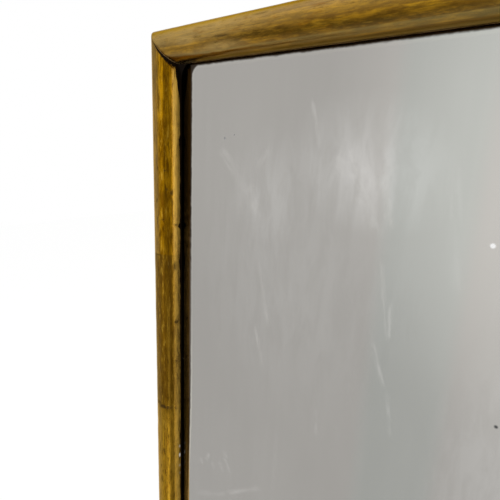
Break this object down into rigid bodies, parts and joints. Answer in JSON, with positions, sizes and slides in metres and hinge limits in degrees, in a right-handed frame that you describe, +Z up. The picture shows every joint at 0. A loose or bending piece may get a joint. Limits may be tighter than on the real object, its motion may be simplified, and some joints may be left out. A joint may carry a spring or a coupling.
{
  "type": "bistro mirror",
  "caption": "Upright wall mirror: silvered glass in a mitred wooden frame clad in half-round aged brass, boarded behind and hung by swinging rings.",
  "frame": {"origin": "middle of the back plane, where the frame lies against the wall", "axes": "+X across the width, +Y out of the back towards the wall, +Z up; the glass faces -Y"},
  "size_m": [0.6524, 0.0387, 0.9024],
  "materials": {
    "aged_brass": "aged, worn satin",
    "frame_wood": "dry softwood, blackened at the sight edge",
    "board_wood": "dry, unpainted",
    "spline_wood": "glued in",
    "packer_wood": "rough",
    "silvered_glass": "silvered, slightly hazy",
    "backing_paper": "brown paper",
    "dark_putty": "matt black-brown",
    "dark_steel": "dull, oxidised"
  },
  "bodies": {
    "mirror": {"backboard_1": "board_wood", "backboard_2": "board_wood", "backboard_3": "board_wood", "backboard_4": "board_wood", "backboard_5": "board_wood", "backboard_6": "board_wood", "backing_paper": "backing_paper", "bottom_rail_brass": "aged_brass", "bottom_rail_core": "frame_wood", "brass_pins": "aged_brass", "corner_putty": "dark_putty", "corner_spline_bottom_left": "spline_wood", "corner_spline_bottom_right": "spline_wood", "corner_spline_top_left": "spline_wood", "corner_spline_top_right": "spline_wood", "glazing_brads": "dark_steel", "hanger_screws": "dark_steel", "hanger_strap_left": "dark_steel", "hanger_strap_right": "dark_steel", "left_stile_brass": "aged_brass", "left_stile_core": "frame_wood", "mirror_plate": "silvered_glass", "plate_packers": "packer_wood", "right_stile_brass": "aged_brass", "right_stile_core": "frame_wood", "top_rail_brass": "aged_brass", "top_rail_core": "frame_wood"},
    "left_ring": {"hang_ring_left": "dark_steel"},
    "right_ring": {"hang_ring_right": "dark_steel"}
  },
  "joints": [
    {"name": "left_ring_swing", "type": "hinge", "parent": "mirror", "child": "left_ring", "pos_m": [-0.3145, 0.00268, 0.24], "axis": [1, 0, 0], "range_deg": [0, 170]},
    {"name": "right_ring_swing", "type": "hinge", "parent": "mirror", "child": "right_ring", "pos_m": [0.3145, 0.00268, 0.24], "axis": [1, 0, 0], "range_deg": [0, 170]}
  ]
}
